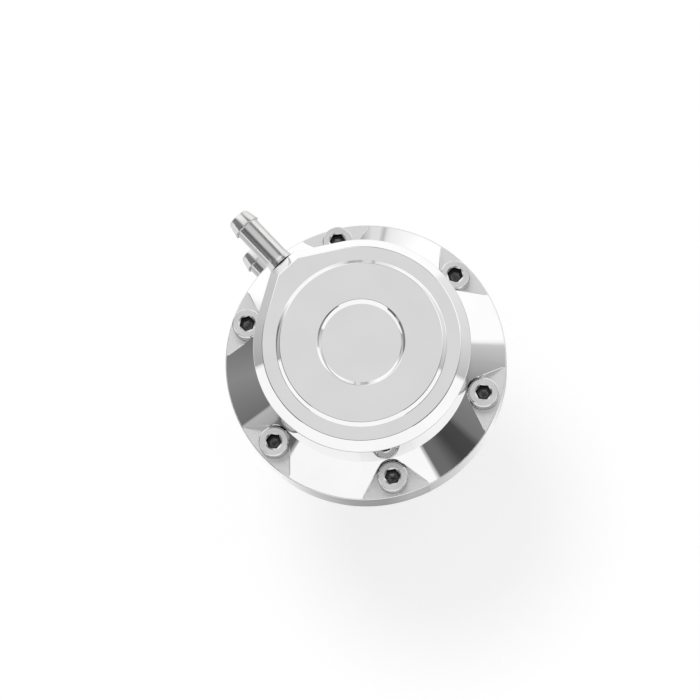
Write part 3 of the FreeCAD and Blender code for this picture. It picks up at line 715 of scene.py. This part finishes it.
class ACTUATOR_OT_cover(bpy.types.Operator):
    """Make the polished top cover: cone skirt, screw pockets, boss and stepped face"""

    bl_idname = "actuator.cover"
    bl_label = "Top cover"

    def execute(self, context):
        f = context.scene.actuator_finish
        p = context.scene.actuator_piece
        flange = COVER_HIGH.y
        base = COVER_LOW.z
        top = COVER_HIGH.z
        face = top - p.plateau_rise
        edge_width = p.edge
        screw_low, screw_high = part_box(SCREWS[1])
        circle = (screw_low.y + screw_high.y) / 2.0
        skirt_top = SEAT + p.skirt_rise

        skirt_foot = flange - p.rim_round - 0.02 * MM
        lean = p.skirt_rise / (skirt_foot - p.wall)
        skirt = turned_form(
            "skirt",
            rounded(
                [
                    (0.0, base, 0.0),
                    (flange - 0.12 * MM, base, 0.0),
                    (flange, base + 0.12 * MM, 0.0),
                    (flange, SEAT, p.rim_round),
                    (skirt_foot, SEAT, 0.0),
                    (p.wall, skirt_top, 0.0),
                    (p.wall - 0.5 * MM, skirt_top + 0.5 * MM * lean, 0.0),
                    (0.0, skirt_top + 0.5 * MM * lean, 0.0),
                ],
                steps=6,
            ),
            TURNED_SIDES,
        )
        angles = [math.radians(30.0 + 60.0 * k) for k in range(6)]
        for angle in angles:
            cutter = pocket_cutter(angle, circle, flange + MM, SEAT, skirt_top + 3.0 * MM)
            join_forms(skirt, cutter, "DIFFERENCE")
        bpy.context.view_layer.objects.active = skirt
        bpy.ops.object.mode_set(mode="EDIT")
        select_by("EDGE", lambda edge: pocket_lip(edge, flange - 0.5 * MM))
        bpy.ops.mesh.bevel(
            offset=p.pocket_edge, segments=1, affect="EDGES", clamp_overlap=False
        )
        bpy.ops.object.mode_set(mode="OBJECT")

        cap = can_form("top_cover_polished", base + MM, face, p)
        bpy.ops.object.mode_set(mode="EDIT")
        select_by("EDGE", lambda edge: rim_edge(edge, face))
        bpy.ops.mesh.bevel(offset=p.face_chamfer, segments=1, affect="EDGES")
        select_by("EDGE", lambda edge: rim_edge(edge, face))
        bpy.ops.mesh.bevel(offset=edge_width, segments=3, affect="EDGES")
        chamfer_foot = face - p.face_chamfer
        select_by(
            "EDGE", lambda edge: all(abs(v.co.z - chamfer_foot) < 1e-6 for v in edge.verts)
        )
        bpy.ops.mesh.bevel(offset=edge_width, segments=3, affect="EDGES")
        bpy.ops.object.mode_set(mode="OBJECT")
        join_forms(cap, skirt, "UNION")

        r = p.face_round
        foot = face - 0.08 * r
        plateau = turned_form(
            "plateau",
            rounded(
                [
                    (0.0, face - MM, 0.0),
                    (p.plateau_foot + 0.6 * MM, face - MM, 0.0),
                    (p.plateau_foot + 0.6 * MM, foot, 0.0),
                    (p.plateau_foot, foot, r),
                    (p.plateau_foot - p.plateau_rise, top, r),
                    (p.recess_rim, top, r),
                    (p.recess_rim - p.recess_drop, top - p.recess_drop, r),
                    (0.0, top - p.recess_drop, 0.0),
                ]
            ),
            TURNED_SIDES,
        )
        join_forms(cap, plateau, "UNION")

        chamber = turned_form(
            "chamber",
            [
                (0.0, base - MM),
                (CHAMBER_RADIUS, base - MM),
                (CHAMBER_RADIUS, face - ROOF - CHAMBER_CORNER),
                (CHAMBER_RADIUS - CHAMBER_CORNER, face - ROOF),
                (0.0, face - ROOF),
            ],
            TURNED_SIDES,
        )
        join_forms(cap, chamber, "DIFFERENCE")
        stop_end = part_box("retainer_plate")[1].z + STOP_GAP
        for k in range(3):
            turn = math.radians(120.0 * k)
            spot = (STOP_CIRCLE * math.cos(turn), STOP_CIRCLE * math.sin(turn))
            stop = upright_cylinder(STOP_RADIUS, stop_end, face - ROOF + MM, spot)
            join_forms(cap, stop, "UNION")
        for angle in angles:
            spot = (circle * math.cos(angle), circle * math.sin(angle))
            hole = upright_cylinder(SCREW_HOLE, base - MM, SEAT + MM, spot)
            join_forms(cap, hole, "DIFFERENCE")
        tail_low, tail_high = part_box("upper_hose_tail")
        bore = upright_cylinder(TAIL_HOLE, 0.0, TAIL_HOLE_LENGTH)
        level = (tail_low.z + tail_high.z) / 2.0
        start = (-TAIL_HOLE_START, 0.0, level)
        set_in_place(bore, (0.0, math.radians(-90.0), 0.0), start)
        join_forms(cap, bore, "DIFFERENCE")

        cap.data.materials.clear()
        cap.data.materials.append(polished_aluminium("polished cover", f))
        smooth(cap, 18.0)
        apply_modifier(cap, "WEIGHTED_NORMAL", keep_sharp=True, weight=80)
        hand_over(cap, "canister", "top_cover")
        return {"FINISHED"}


class ACTUATOR_OT_can(bpy.types.Operator):
    """Polish the lower body"""

    bl_idname = "actuator.can"
    bl_label = "Lower body"

    def execute(self, context):
        finish = context.scene.actuator_finish
        finish_node("lower_body", polished_aluminium("polished can", finish))
        return {"FINISHED"}


class ACTUATOR_OT_screws(bpy.types.Operator):
    """Make the six socket head screws, knurled and with a lead into each socket"""

    bl_idname = "actuator.screws"
    bl_label = "Cover screws"

    def execute(self, context):
        f = context.scene.actuator_finish
        p = context.scene.actuator_piece
        steel = machined(
            "screw steel", f.screw_steel, f.screw_roughness, "Z", pitch=0.16, line_depth=0.35
        )
        # The socket walls' near black is painted shade.
        dark = socket_shade_material("socket wall painted shade", f.socket_wall_painted_shade)
        # The socket floors' paler grey is painted shade, with the lighter spot at the socket's
        # bottom painted in.
        socket_floor_paint = socket_shade_material("socket floor painted shade", f.socket_floor_painted_shade)
        radius, shank, bottom = HEAD_RADIUS, SHANK_RADIUS, -SHANK_LENGTH
        top = HEAD_HEIGHT
        edge = p.head_round
        profile = [
            (0.0, bottom),
            (shank - 0.4 * MM, bottom),
            (shank, bottom + 0.4 * MM),
            (shank, -0.2 * MM),
            (shank, 0.0),
            (radius - 0.2 * MM, 0.0),
            (radius, 0.2 * MM),
            (radius, KNURL_FOOT),
            (radius, top - KNURL_TOP),
            (radius, top - edge),
            (radius - 0.06 * MM, top - edge + 0.03 * MM),
            (radius - edge + 0.03 * MM, top - 0.06 * MM),
            (radius - edge, top),
            (SOCKET_MOUTH, top),
            (SOCKET_THROAT, top - SOCKET_LEAD),
            (0.0, top - SOCKET_LEAD),
        ]
        screw = turned_form("cover_screw", profile, HEAD_SIDES)
        screw.data.materials.append(steel)
        screw.data.materials.append(dark)
        bpy.ops.object.mode_set(mode="EDIT")
        step = 2.0 * math.pi / HEAD_SIDES

        def groove(v):
            place = round(math.atan2(v.co.y, v.co.x) / step)
            band = KNURL_FOOT - 1e-6 < v.co.z < top - KNURL_TOP + 1e-6
            return band and v.co.xy.length > radius * 0.98 and place % 2 == 0

        select_by("VERT", groove)
        ratio = 1.0 - p.knurl_depth / radius
        bpy.ops.transform.resize(
            value=(ratio, ratio, 1.0), center_override=(0.0, 0.0, 0.0)
        )
        bpy.ops.object.mode_set(mode="OBJECT")

        floor = top - p.socket_depth
        bpy.ops.mesh.primitive_cylinder_add(
            vertices=6,
            radius=p.socket_width / math.sqrt(3.0),
            depth=p.socket_depth + MM,
            location=(0.0, 0.0, floor + (p.socket_depth + MM) / 2.0),
        )
        key = context.active_object
        bpy.ops.object.transform_apply(location=True, rotation=True, scale=True)
        bpy.ops.object.mode_set(mode="EDIT")
        select_by("FACE", lambda q: q.normal.z < -0.9)
        bpy.ops.mesh.inset(thickness=SOCKET_LEDGE)
        bpy.ops.mesh.poke()
        select_by("VERT", lambda v: v.co.xy.length < 1e-6 and v.co.z < floor + MM)
        bpy.ops.transform.translate(value=(0.0, 0.0, -DRILL_POINT))
        bpy.ops.object.mode_set(mode="OBJECT")
        # The drill point's faces take the paler painted shade, for the lighter spot at the
        # bottom of each socket.
        key.data.materials.append(dark)
        key.data.materials.append(socket_floor_paint)
        key.active_material_index = 1
        bpy.ops.object.mode_set(mode="EDIT")
        select_by("FACE", lambda q: q.calc_center_median().z < floor - 1e-6)
        bpy.ops.object.material_slot_assign()
        bpy.ops.object.mode_set(mode="OBJECT")
        join_forms(screw, key, "DIFFERENCE", material_mode="TRANSFER")
        smooth(screw, 20.0)

        for name, turn in zip(SCREWS, SOCKET_TURNS):
            low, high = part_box(name)
            copy = screw.copy()
            copy.data = screw.data.copy()
            copy.name = f"{name}_finished"
            context.scene.collection.objects.link(copy)
            place = ((low.x + high.x) / 2.0, (low.y + high.y) / 2.0, SEAT)
            set_in_place(copy, (0.0, 0.0, math.radians(turn)), place)
            hand_over(copy, "canister", name)
        bpy.data.objects.remove(screw)
        return {"FINISHED"}


class ACTUATOR_OT_tails(bpy.types.Operator):
    """Make the two turned hose tails and their washers"""

    bl_idname = "actuator.tails"
    bl_label = "Hose tails"

    def execute(self, context):
        f = context.scene.actuator_finish
        p = context.scene.actuator_piece
        rubber = soft_black("washer rubber", f.rubber, 0.55)
        flats = {"upper": p.boss_reach, "lower": -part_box("lower_tail_seal")[1].x}
        for side in ("upper", "lower"):
            node = f"{side}_hose_tail"
            low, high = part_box(node)
            level = (low.z + high.z) / 2.0
            steel = machined(
                f"{side} tail steel",
                f.tail_steel,
                f.tail_roughness,
                "X",
                centre=(0.0, 0.0, level),
                pitch=0.22,
                line_depth=0.35,
            )
            reach = high.x - low.x
            seal_low, seal_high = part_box(f"{side}_tail_seal")
            thick = seal_high.x - seal_low.x
            foot = -low.x - flats[side] - thick
            r = p.barb_round
            profile = [
                (TAIL_BORE, reach),
                (TAIL_SPIGOT, reach),
                (TAIL_SPIGOT, foot),
                (TAIL_COLLAR - 0.05 * MM, foot),
                (TAIL_COLLAR, foot - 0.05 * MM),
                (TAIL_COLLAR, foot - 0.75 * MM),
                (TAIL_COLLAR - 0.04 * MM, foot - 0.85 * MM),
                (TAIL_RADIUS + 0.12 * MM, foot - 1.5 * MM),
                (TAIL_RADIUS + 0.02 * MM, foot - 2.3 * MM),
                (TAIL_RADIUS, foot - 2.9 * MM),
                (TAIL_RADIUS, BARB_LENGTH + 1.2 * MM),
                (TAIL_RADIUS, BARB_LENGTH + 0.1 * MM),
                (TAIL_RADIUS + 0.08 * MM, BARB_LENGTH + 0.02 * MM),
                (BARB_RADIUS - r, BARB_LENGTH),
                (BARB_RADIUS - r * 0.25, BARB_LENGTH - r * 0.3),
                (BARB_RADIUS, BARB_LENGTH - r),
                (BARB_RADIUS - 0.07 * MM, BARB_LENGTH - 0.5 * MM),
                (TAIL_RADIUS - 0.08 * MM, 0.9 * MM),
                (TAIL_RADIUS - 0.3 * MM, 0.25 * MM),
                (TAIL_RADIUS - 0.48 * MM, 0.04 * MM),
                (TAIL_RADIUS - 0.65 * MM, 0.0),
                (TAIL_BORE + 0.25 * MM, 0.0),
                (TAIL_BORE, 0.25 * MM),
            ]
            tail = turned_form(f"{side}_tail", profile, 96)
            tail.data.materials.append(steel)
            set_in_place(tail, (0.0, math.radians(90.0), 0.0), (low.x, 0.0, level))
            smooth(tail, 34.0)
            hand_over(tail, "canister", node)

            outer = seal_high.y
            washer = turned_form(
                f"{side}_washer",
                [
                    (TAIL_HOLE, 0.0),
                    (outer - WASHER_EDGE, 0.0),
                    (outer, WASHER_EDGE),
                    (outer, thick - WASHER_EDGE),
                    (outer - WASHER_EDGE, thick),
                    (TAIL_HOLE, thick),
                ],
                96,
            )
            washer.data.materials.append(rubber)
            start = (-flats[side] - thick, 0.0, level)
            set_in_place(washer, (0.0, math.radians(90.0), 0.0), start)
            smooth(washer, 50.0)
            hand_over(washer, "canister", f"{side}_tail_seal")
        return {"FINISHED"}


class ACTUATOR_OT_rod(bpy.types.Operator):
    """Make the rod with its two threads, and finish its nuts and the eye at its end"""

    bl_idname = "actuator.rod"
    bl_label = "Rod and eye"

    def execute(self, context):
        f = context.scene.actuator_finish
        ground = machined("ground rod", f.rod_steel, 0.16, "Z", pitch=0.10)
        plated = machined("plated steel", f.plated, 0.30, "Z", pitch=0.30, line_depth=0.8)
        eye = machined("eye steel", f.eye_steel, 0.30, "Y", pitch=0.30, line_depth=1.2)
        low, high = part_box("actuator_rod")
        collar = high.x
        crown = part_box("retainer_plate")[0].z
        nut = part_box("piston_nut")[0].z
        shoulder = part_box("lock_nut")[1].z + ROD_SHOULDER_UP
        run_out = shoulder - ROD_RUN_OUT
        neck = ROD_END_RADIUS - END_THREAD_DEPTH / 2.0
        collar_top = crown - PISTON_STACK
        collar_foot = collar_top - ROD_COLLAR_HEIGHT
        foot, end = low.z + ROD_CHAMFER, run_out - 0.2 * MM
        end_thread = thread_rings(ROD_END_RADIUS, END_THREAD_DEPTH, END_THREAD_PITCH, foot, end)
        foot, end = nut + 0.4 * MM, high.z - ROD_CHAMFER
        top_thread = thread_rings(ROD_RADIUS, TOP_THREAD_DEPTH, TOP_THREAD_PITCH, foot, end)
        rod = turned_form(
            "threaded_rod",
            [
                (0.0, low.z),
                (ROD_END_RADIUS - ROD_CHAMFER, low.z),
                *end_thread,
                (neck, run_out),
                (neck, shoulder - ROD_RADIUS + neck),
                (ROD_RADIUS, shoulder),
                (ROD_RADIUS, collar_foot),
                (collar, collar_foot),
                (collar, collar_top),
                (ROD_RADIUS, collar_top),
                (ROD_RADIUS, nut),
                *top_thread,
                (ROD_RADIUS - ROD_CHAMFER, high.z),
                (0.0, high.z),
            ],
            64,
        )
        rod.data.materials.append(ground)
        smooth(rod, 40.0)
        hand_over(rod, "rod", "actuator_rod")
        finish_node("rod_eye", eye)
        for name in ("lock_nut", "piston_nut", "piston_washer"):
            finish_node(name, plated)
        return {"FINISHED"}


class ACTUATOR_OT_inner(bpy.types.Operator):
    """Finish the pieces in the can and its neck. The spring and diaphragm are merged copies that
    keep their CAD shape
    """

    bl_idname = "actuator.inner"
    bl_label = "Inner pieces"

    def execute(self, context):
        f = context.scene.actuator_finish
        alloy = f.inner_aluminium
        turned = machined("turned aluminium", alloy, 0.24, "Z", pitch=0.20, line_depth=0.9)
        spring = machined("spring steel", f.spring_steel, 0.32, line_depth=0.6)
        bronze = machined("bush bronze", f.bronze, 0.30, "Z", pitch=0.20, line_depth=0.8)
        ring = machined("ring steel", f.ring_steel, 0.38, line_depth=0.8)
        rubber = soft_black("seal rubber", f.rubber, 0.50)
        cloth = soft_black("coated cloth", f.cloth, 0.62, weave=220.0)
        for name in ("piston", "retainer_plate"):
            finish_node(name, turned)
        finish_node("rod_bush", bronze)
        finish_node("seal_retaining_ring", ring)
        finish_node("rod_seal", rubber)

        coil = loose_copy("return_spring", spring)
        hand_over(coil, "canister", "return_spring")
        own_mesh(coil)
        fabric = loose_copy("diaphragm", cloth)
        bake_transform(fabric)
        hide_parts("diaphragm")
        return {"FINISHED"}


def camera_turn(azimuth, elevation, roll):
    """The camera's axes, as columns, for a view from that azimuth and elevation."""
    back = Vector(
        (
            math.sin(azimuth) * math.cos(elevation),
            -math.cos(azimuth) * math.cos(elevation),
            math.sin(elevation),
        )
    )
    right = Vector((math.cos(azimuth), math.sin(azimuth), 0.0))
    up = back.cross(right)
    turned_right = right * math.cos(roll) + up * math.sin(roll)
    turned_up = back.cross(turned_right)
    return Matrix((turned_right, turned_up, back)).transposed()


def only_mirrored(panel):
    """Keep a studio panel out of everything but reflections."""
    panel.visible_camera = False
    panel.visible_diffuse = False
    panel.visible_shadow = False
    panel.visible_transmission = False


def around_ramp(tree, turn, stops):
    """Brightness round the compass, from (degrees, brightness) stops."""
    ramp = tree.add("ShaderNodeValToRGB", {"Fac": turn})
    ramp.color_ramp.interpolation = "LINEAR"
    elements = ramp.color_ramp.elements
    while len(elements) > 1:
        elements.remove(elements[-1])
    for k, (degrees, glow) in enumerate(stops):
        if k == 0:
            element = elements[0]
            element.position = degrees / 360.0
        else:
            element = elements.new(degrees / 360.0)
        element.color = (glow, glow, glow, 1.0)
    return ramp.outputs["Color"]


# The studio round the actuator, as its polished metal mirrors it: an overhead panel, a
# ring round it, the sides that the cone skirt mirrors, the level sides that the bevels
# mirror, the walls that the can mirrors from the side, and what lies below. Each table
# gives brightness by degrees round the axis.
RING_SIDES = (
    (0.0, 0.14), (50.0, 0.22), (70.0, 1.20), (98.0, 1.14), (105.0, 0.25),
    (136.0, 0.25), (146.0, 1.15), (190.0, 1.20), (205.0, 0.30), (240.0, 0.14),
)
UPPER_SIDES = (
    (0.0, 0.16), (8.0, 0.06), (17.0, 0.07), (21.0, 0.19), (44.0, 0.27),
    (66.0, 0.60), (68.0, 1.08), (120.0, 1.12), (132.0, 0.90), (133.5, 0.50),
    (135.0, 0.82), (139.0, 0.80), (140.0, 0.42), (141.5, 0.58), (146.0, 0.46),
    (150.0, 0.90), (158.0, 1.15), (187.0, 1.12), (204.0, 0.18), (222.0, 0.27),
    (242.0, 0.17), (243.0, 0.48), (250.0, 0.40), (252.0, 0.14), (268.0, 0.12),
    (270.0, 1.02), (352.5, 1.05), (353.5, 0.16),
)
LEVEL_SIDES = (
    (0.0, 1.06), (37.5, 1.04), (38.5, 0.54), (64.0, 0.78), (98.0, 0.88),
    (102.0, 1.08), (192.0, 1.10), (200.0, 0.58), (225.0, 0.42), (227.0, 1.04),
)
WALL_SIDES = (
    (0.0, 0.62), (22.0, 0.92), (48.0, 0.96), (64.0, 0.52), (76.0, 0.30),
    (93.0, 0.66), (125.0, 0.90), (152.0, 0.94), (163.0, 0.48), (178.0, 0.26),
    (196.0, 0.62), (224.0, 0.90), (246.0, 0.95), (258.0, 0.48), (276.0, 0.30),
    (296.0, 0.68), (330.0, 0.88), (350.0, 0.80),
)
LOWER_SIDES = (
    (0.0, 0.54), (44.0, 0.78), (76.0, 0.96), (114.0, 0.56), (184.0, 1.00),
    (222.0, 0.96), (256.0, 0.60), (290.0, 0.37), (318.0, 0.33), (342.0, 0.46),
)


def dome_material(overhead, axis):
    """A dome that glows by how far a point leans from the axis and by its azimuth."""
    material = bpy.data.materials.new("studio dome")
    tree = Tree(material)
    place = tree.add("ShaderNodeTexCoord").outputs["Object"]
    parts = tree.add("ShaderNodeSeparateXYZ", {0: place}).outputs
    around = tree.calculate("ARCTAN2", parts[1], parts[0])
    turn = tree.calculate("FRACT", tree.calculate("DIVIDE", around, 2.0 * math.pi))
    spoke = tree.add("ShaderNodeVectorMath", {0: place}, operation="NORMALIZE").outputs[0]
    along = tree.add(
        "ShaderNodeVectorMath", {0: spoke, 1: axis}, operation="DOT_PRODUCT"
    ).outputs["Value"]
    lean = tree.calculate("ARCCOSINE", along)

    def edge(low, high):
        return tree.spread(lean, math.radians(low), math.radians(high), eased=True)

    glow = (overhead, overhead, overhead, 1.0)
    bands = (
        (16.0, 36.0, RING_SIDES),
        (49.0, 56.0, UPPER_SIDES),
        (80.0, 82.0, LEVEL_SIDES),
        (93.5, 96.5, WALL_SIDES),
        (124.0, 146.0, LOWER_SIDES),
    )
    for low, high, sides in bands:
        glow = tree.blend(edge(low, high), glow, around_ramp(tree, turn, sides))
    shine = tree.add("ShaderNodeEmission", {"Color": glow})
    tree.add("ShaderNodeOutputMaterial", {"Surface": shine.outputs[0]})
    return material


class ACTUATOR_OT_stage(bpy.types.Operator):
    """Set up the camera, the floor, the studio that the metal mirrors and the soft light"""

    bl_idname = "actuator.stage"
    bl_label = "Stage"

    def execute(self, context):
        s = context.scene.actuator_stage
        data = bpy.data.cameras.new("camera")
        data.lens = s.lens
        data.sensor_width = 36.0
        camera = bpy.data.objects.new("camera", data)
        context.scene.collection.objects.link(camera)
        turn = camera_turn(s.azimuth, s.elevation, s.roll).to_4x4()
        camera.matrix_world = Matrix.Translation(Vector(s.place)) @ turn
        context.scene.camera = camera
        context.scene.view_settings.view_transform = "Standard"

        floor_level = cad_box[0][2] - ROD_TRAVEL - FLOOR_GAP
        bpy.ops.mesh.primitive_plane_add(size=8.0, location=(0, 0, floor_level))
        floor = context.active_object
        floor.name = "floor"
        material = bpy.data.materials.new("pale floor")
        tree = Tree(material)
        path = tree.add("ShaderNodeLightPath").outputs
        paint = tree.add("ShaderNodeBsdfDiffuse", {"Color": (0.80, 0.80, 0.80, 1.0)})
        fill = tree.add("ShaderNodeEmission", {"Strength": s.floor_fill})
        seen = tree.add("ShaderNodeAddShader", {0: paint.outputs[0], 1: fill.outputs[0]})
        shown = tree.add(
            "ShaderNodeMixShader",
            {0: path["Is Camera Ray"], 1: paint.outputs[0], 2: seen.outputs[0]},
        )
        tree.add("ShaderNodeOutputMaterial", {"Surface": shown.outputs[0]})
        floor.data.materials.append(material)
        floor.visible_glossy = False

        bpy.ops.mesh.primitive_uv_sphere_add(
            segments=96, ring_count=48, radius=DOME_RADIUS, location=(0.0, 0.0, 0.0)
        )
        dome = context.active_object
        dome.name = "studio_dome"
        back = camera_turn(s.azimuth, s.elevation, s.roll).col[2]
        axis = Vector((-back.x, -back.y, back.z))
        dome.data.materials.append(dome_material(s.overhead, axis))
        only_mirrored(dome)

        lamp = bpy.data.lights.new("soft key", "AREA")
        lamp.shape = "DISK"
        lamp.size = s.key_size
        lamp.energy = s.key_power
        key = bpy.data.objects.new("soft key", lamp)
        context.scene.collection.objects.link(key)
        key.location = s.key_place
        key.rotation_euler = (-key.location).to_track_quat("-Z", "Y").to_euler()
        key.visible_glossy = False

        world = bpy.data.worlds.new("studio")
        context.scene.world = world
        tree = Tree(world)
        path = tree.add("ShaderNodeLightPath").outputs
        clean = tree.calculate("MAXIMUM", path["Is Camera Ray"], path["Is Transmission Ray"])
        soft = tree.add("ShaderNodeBackground", {"Strength": s.studio})
        mirror = tree.add("ShaderNodeBackground", {"Strength": MIRRORED_SKY})
        white = tree.add("ShaderNodeBackground", {"Strength": 1.0})
        for back in (soft, mirror, white):
            back.inputs["Color"].default_value = (1.0, 1.0, 1.0, 1.0)
        shiny = tree.add(
            "ShaderNodeMixShader",
            {0: path["Is Glossy Ray"], 1: soft.outputs[0], 2: mirror.outputs[0]},
        )
        sky = tree.add(
            "ShaderNodeMixShader", {0: clean, 1: shiny.outputs[0], 2: white.outputs[0]}
        )
        tree.add("ShaderNodeOutputWorld", {"Surface": sky.outputs[0]})
        return {"FINISHED"}


OPERATORS = (
    ACTUATOR_OT_cover,
    ACTUATOR_OT_can,
    ACTUATOR_OT_screws,
    ACTUATOR_OT_tails,
    ACTUATOR_OT_rod,
    ACTUATOR_OT_inner,
    ACTUATOR_OT_stage,
)


class ACTUATOR_PT_panel(bpy.types.Panel):
    """Lists the actuator's pieces, finishes and stage"""

    bl_label = "Wastegate actuator"
    bl_idname = "ACTUATOR_PT_panel"
    bl_space_type = "VIEW_3D"
    bl_region_type = "UI"
    bl_category = "Actuator"

    def draw(self, context):
        for operator in OPERATORS:
            self.layout.operator(operator.bl_idname)
        for group in ("actuator_finish", "actuator_piece", "actuator_stage"):
            settings = getattr(context.scene, group)
            box = self.layout.box()
            for key in settings.bl_rna.properties.keys():
                if key not in ("rna_type", "name"):
                    box.prop(settings, key)


CLASSES = (FinishSettings, PieceSettings, StageSettings, *OPERATORS, ACTUATOR_PT_panel)


def register():
    for cls in CLASSES:
        bpy.utils.register_class(cls)
    scene = bpy.types.Scene
    scene.actuator_finish = bpy.props.PointerProperty(type=FinishSettings)
    scene.actuator_piece = bpy.props.PointerProperty(type=PieceSettings)
    scene.actuator_stage = bpy.props.PointerProperty(type=StageSettings)


def unregister():
    scene = bpy.types.Scene
    del scene.actuator_stage
    del scene.actuator_piece
    del scene.actuator_finish
    for cls in reversed(CLASSES):
        bpy.utils.unregister_class(cls)


def main():
    register()
    bpy.ops.actuator.cover()
    bpy.ops.actuator.can()
    bpy.ops.actuator.screws()
    bpy.ops.actuator.tails()
    bpy.ops.actuator.rod()
    bpy.ops.actuator.inner()
    bpy.ops.actuator.stage()


if __name__ == "__main__":
    main()
